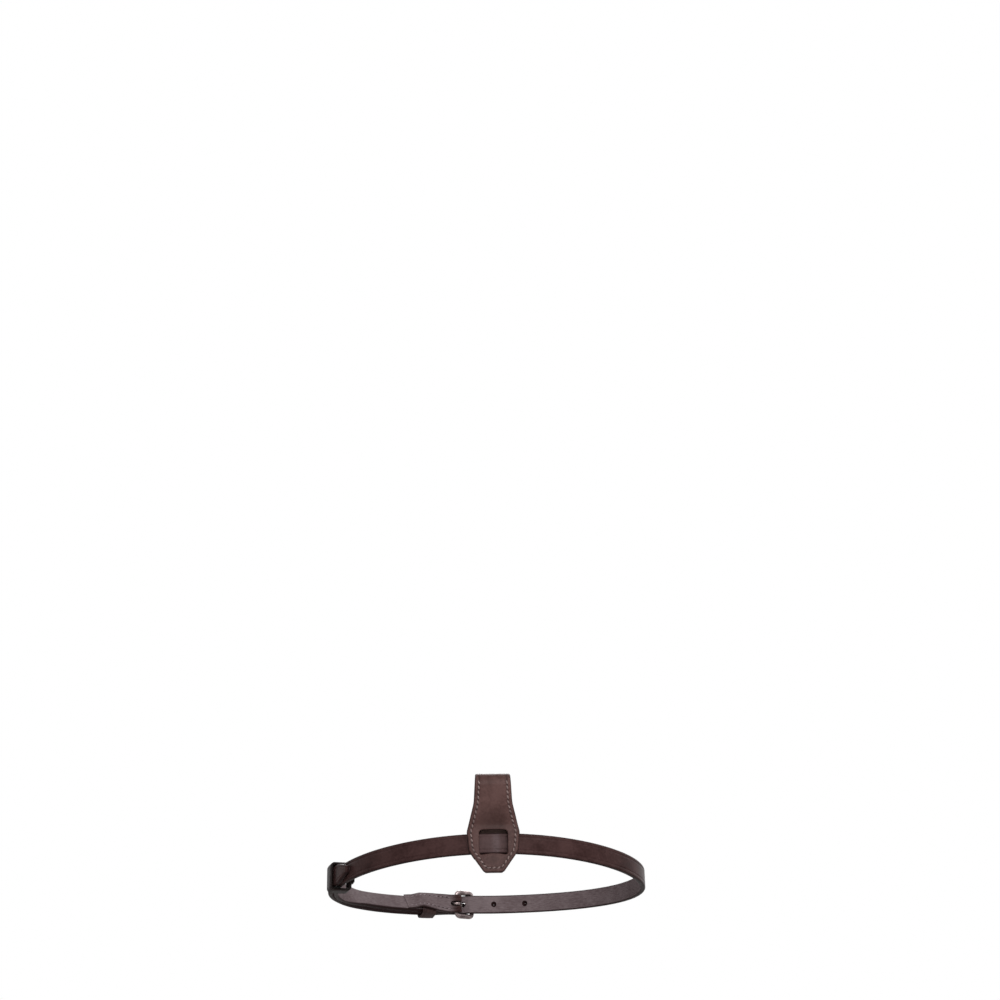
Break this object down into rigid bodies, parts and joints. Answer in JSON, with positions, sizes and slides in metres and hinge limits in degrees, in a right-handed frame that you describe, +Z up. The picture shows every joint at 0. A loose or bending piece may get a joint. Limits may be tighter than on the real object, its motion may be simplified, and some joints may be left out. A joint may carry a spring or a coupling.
{
  "type": "flash noseband",
  "caption": "Narrow leather strap that buckles round a horse's muzzle, carried by a stitched hanger that loops over the main noseband.",
  "frame": {"origin": "middle of the hanger's opening, where the main noseband goes through", "axes": "+Z up along the axis of the strap's ring, +X to the right seen from the front, -Y to the front"},
  "size_m": [0.1985, 0.2099, 0.0568],
  "materials": {
    "hanger_leather": "semi-matt vegetable tanned bridle leather",
    "lining_leather": "matt lining leather",
    "dark_brown_leather": "semi-matt bridle leather, paler fibrous flesh side",
    "buckle_metal": "satin metal with a warm dark tone",
    "brown_thread": "waxed brown sewing thread"
  },
  "bodies": {
    "hanger": {"hanger_front": "hanger_leather", "hanger_lining": "lining_leather", "hanger_thread": "brown_thread"},
    "strap": {"flash_strap": "dark_brown_leather", "chape_thread_upper": "brown_thread", "chape_thread_lower": "brown_thread", "fixed_keeper": "dark_brown_leather"},
    "buckle": {"buckle_frame": "buckle_metal"},
    "tongue": {"buckle_tongue": "buckle_metal"},
    "runner": {"runner_keeper": "dark_brown_leather", "runner_keeper_thread": "brown_thread"}
  },
  "joints": [
    {"name": "strap_slide", "type": "hinge", "parent": "hanger", "child": "strap", "pos_m": [0, 0.09909, -0.03151], "axis": [0, 0, 1], "range_deg": [-20, 20]},
    {"name": "runner_keeper_slide", "type": "hinge", "parent": "strap", "child": "runner", "pos_m": [0, 0.09909, -0.03151], "axis": [0, 0, 1], "range_deg": [-20, 4]},
    {"name": "buckle_swing", "type": "hinge", "parent": "strap", "child": "buckle", "pos_m": [-0.02016, 0.19001, -0.02855], "axis": [0, 0, 1], "range_deg": [0, 4]},
    {"name": "tongue_lift", "type": "hinge", "parent": "buckle", "child": "tongue", "pos_m": [-0.02016, 0.19001, -0.02855], "axis": [0, 0, 1], "range_deg": [0, 5]}
  ]
}
